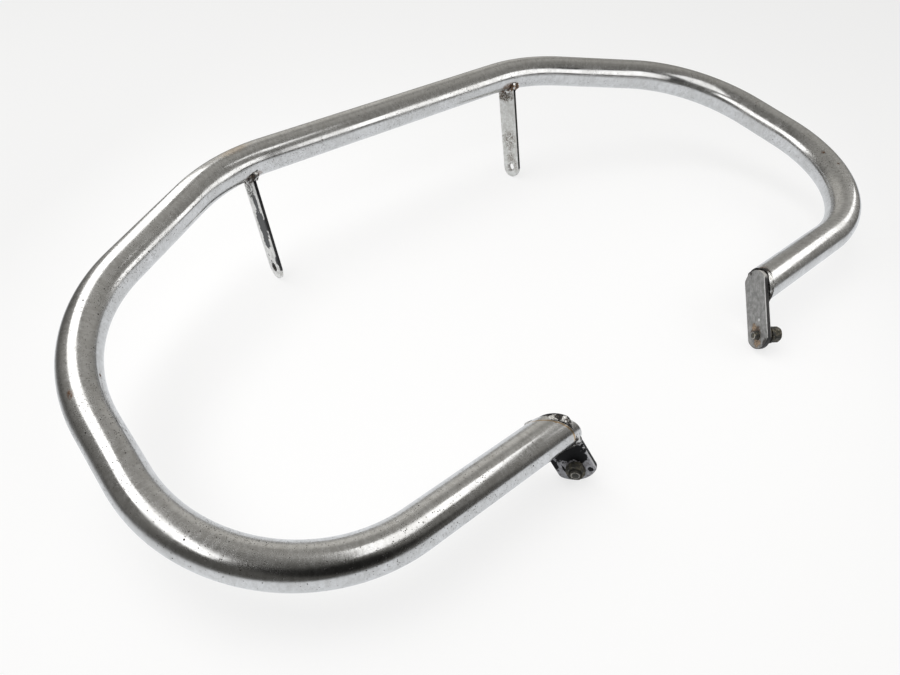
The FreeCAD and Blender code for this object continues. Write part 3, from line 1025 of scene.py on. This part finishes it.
dress(guard_tube(), chrome(), "guard_tube")
fastener_steel = rusty_steel("dark_rusty_steel")
dress(end_plate("left"), black_paint_plate(), "left_end_plate")
dress(end_plate("right"), dull_plate(), "right_end_plate")
dress(tab("left"), left_tab_metal(), "left_tab")
dress(tab("right"), right_tab_metal(), "right_tab")
for side, (seed, tab_rust, plate_shine, glint_spot, tip) in SIDES.items():
    node = side + "_tab_weld"
    steel = weld_metal(node + "_metal", tab_rust, 0.42)
    bead = lumpy_bead(side + "_tab_bead", node, tab_place(side)[0], TAB_LUMP, seed)
    dress(bead, steel, node)
    node = side + "_plate_weld"
    steel = weld_metal(node + "_metal", 0.25, plate_shine, glint_spot)
    place = plate_place(side)[0]
    bead = lumpy_bead(side + "_plate_bead", node, place, PLATE_LUMP, seed + 9, PLATE_BEAD_REACH)
    dress(bead, steel, node)
    dress(bolt(side), rusty_steel(side + "_bolt_steel", tip), side + "_bolt")
    dress(nut(side), fastener_steel, side + "_nut")
    for name in ("flat_washer", "spring_washer"):
        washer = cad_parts[side + "_" + name]
        washer.data.materials.clear()
        washer.data.materials.append(fastener_steel)


# Floor, lamps, surroundings and camera

# How far the floor reaches, how much of its own light the camera and the chrome see, and the disc of it
# that the chrome mirrors: its middle, and where it fades
FLOOR_REACH = 6
SEEN_SHARE = 0.74
MIRRORED_SHARE = 0.80
DISC_MIDDLE = (0.10, -0.10, 0.0)
DISC_FADE = (0.58, 0.92)


def floor():
    """Pale floor, nearly white to the camera, with the guard's soft shadow. The chrome mirrors a disc."""
    corners = [(x * FLOOR_REACH, y * FLOOR_REACH, 0) for x, y in ((-1, -1), (1, -1), (1, 1), (-1, 1))]
    piece = new_object("floor", corners, [(0, 1, 2, 3)], False)
    s = Shader("pale_floor")
    s.finish(Base_Color=(0.86, 0.857, 0.85), Roughness=0.7)
    rays = s.tree.nodes.new("ShaderNodeLightPath")
    place = s.node("ShaderNodeTexCoord").outputs["Object"]
    disc = s.mix(s.near(place, DISC_MIDDLE, *DISC_FADE), (0.07, 0.07, 0.068), (0.93, 0.96, 1.0))
    seen = s.math("MULTIPLY", rays.outputs["Is Camera Ray"], SEEN_SHARE)
    mirrored = s.math("MULTIPLY", rays.outputs["Is Glossy Ray"], MIRRORED_SHARE)
    colour = s.mix(rays.outputs["Is Glossy Ray"], (1.0, 1.0, 1.0), disc)
    s.overlay(s.any_of(seen, mirrored), s.node("ShaderNodeEmission", Color=colour))
    piece.data.materials.append(s.material)


def bearing(azimuth, elevation):
    """Unit vector at an azimuth from +Y towards +X and an elevation, in degrees."""
    turn, rise = math.radians(azimuth), math.radians(elevation)
    return Vector((math.sin(turn) * math.cos(rise), math.cos(turn) * math.cos(rise), math.sin(rise)))


def soft_lamp(name, place, azimuth, elevation, roll, size, radiance, mirrored=True):
    """Rectangular soft lamp whose back points to the azimuth and elevation."""
    lamp = bpy.data.lights.new(name, "AREA")
    lamp.shape = "RECTANGLE"
    lamp.size, lamp.size_y = size
    lamp.energy = radiance * math.pi * size[0] * size[1]
    piece = bpy.data.objects.new(name, lamp)
    back = bearing(azimuth, elevation)
    level = back.cross(Vector((0, 0, 1))).normalized()
    turn = math.radians(roll)
    wide = level * math.cos(turn) + level.cross(back) * math.sin(turn)
    axes = Matrix((wide, back.cross(wide), back)).transposed().to_4x4()
    piece.matrix_world = Matrix.Translation(place) @ axes
    piece.visible_glossy = mirrored
    bpy.context.scene.collection.objects.link(piece)


# Name, place, azimuth, elevation, roll, size, radiance, and False for a lamp that no chrome mirrors.
# The high one lights floor, plates and tabs to a plain level.
LAMPS = [
    ("long_lamp", (-0.571, 0.046, 0.558), -40.9, 17.4, -20.0, (1.36, 0.367), 2.0),
    ("square_lamp", (0.033, -0.370, 0.799), 135.6, 116.1, 54.2, (0.558, 0.550), 1.6),
    ("low_lamp", (0.342, -0.277, 0.265), 149.9, -4.6, 6.6, (0.472, 0.247), 1.7),
    ("high_lamp", (-0.55, 0.70, 1.90), -38.0, 65.0, 0.0, (1.5, 1.5), 3.2, False),
]

# The room's own light, and its lighter and darker parts: azimuth, elevation, inner and outer reach in
# degrees, and the light that each adds
ROOM_LIGHT = 0.186
ROOM_TINT = (1.0, 0.975, 0.915, 1)
ROOM = [
    (-150, -19, 63, 79, -0.086),
    (26, 15, 49, 81, 0.168),
    (7, 140, 26, 40, -0.083),
    (115, 46, 33, 43, 0.088),
    (5, -32, 38, 80, -0.216),
    (26, 11, 0, 39, 0.443),
]


def surroundings():
    """Dim room with soft lighter and darker parts, each about a bearing, and a white backdrop."""
    world = bpy.data.worlds.new("studio")
    bpy.context.scene.world = world
    world.use_nodes = True
    tree = world.node_tree
    tree.nodes.clear()
    ray = tree.nodes.new("ShaderNodeTexCoord").outputs["Generated"]
    level = None
    for azimuth, elevation, inner, outer, amount in ROOM:
        dot = tree.nodes.new("ShaderNodeVectorMath")
        dot.operation = "DOT_PRODUCT"
        tree.links.new(ray, dot.inputs[0])
        dot.inputs[1].default_value = bearing(azimuth, elevation)
        share = tree.nodes.new("ShaderNodeMapRange")
        share.interpolation_type = "SMOOTHSTEP"
        share.inputs["From Min"].default_value = math.cos(math.radians(outer))
        share.inputs["From Max"].default_value = math.cos(math.radians(inner))
        share.inputs["To Max"].default_value = amount
        tree.links.new(dot.outputs["Value"], share.inputs["Value"])
        total = tree.nodes.new("ShaderNodeMath")
        total.operation = "ADD"
        total.inputs[0].default_value = ROOM_LIGHT
        if level is not None:
            tree.links.new(level, total.inputs[0])
        tree.links.new(share.outputs["Result"], total.inputs[1])
        level = total.outputs[0]
    tint = tree.nodes.new("ShaderNodeMix")
    tint.data_type = "RGBA"
    tint.inputs[6].default_value = (0, 0, 0, 1)
    tint.inputs[7].default_value = ROOM_TINT
    tree.links.new(level, tint.inputs[0])
    room = tree.nodes.new("ShaderNodeBackground")
    tree.links.new(tint.outputs[2], room.inputs[0])
    backdrop = tree.nodes.new("ShaderNodeBackground")
    backdrop.inputs[0].default_value = (1, 1, 1, 1)
    rays = tree.nodes.new("ShaderNodeLightPath")
    both = tree.nodes.new("ShaderNodeMixShader")
    tree.links.new(rays.outputs["Is Camera Ray"], both.inputs[0])
    tree.links.new(room.outputs[0], both.inputs[1])
    tree.links.new(backdrop.outputs[0], both.inputs[2])
    output = tree.nodes.new("ShaderNodeOutputWorld")
    tree.links.new(both.outputs[0], output.inputs[0])


# The photo's camera: sensor and lens in mm, shift as a share of the width, place and turn in degrees
SENSOR_WIDTH = 36.0
LENS = 24.107
LENS_SHIFT = (0.06315, 0.06321)
CAMERA_PLACE = (-0.404715, -0.323556, 0.392116)
CAMERA_TURN = (42.4225, 0.1674, -37.9667)


def camera():
    lens = bpy.data.cameras.new("camera")
    lens.sensor_width = SENSOR_WIDTH
    lens.lens = LENS
    lens.shift_x, lens.shift_y = LENS_SHIFT
    lens.clip_start = 0.01
    piece = bpy.data.objects.new("camera", lens)
    piece.location = CAMERA_PLACE
    piece.rotation_euler = [math.radians(a) for a in CAMERA_TURN]
    bpy.context.scene.collection.objects.link(piece)
    bpy.context.scene.camera = piece


floor()
for lamp in LAMPS:
    soft_lamp(*lamp)
surroundings()
camera()
bpy.context.scene.view_settings.view_transform = "Standard"
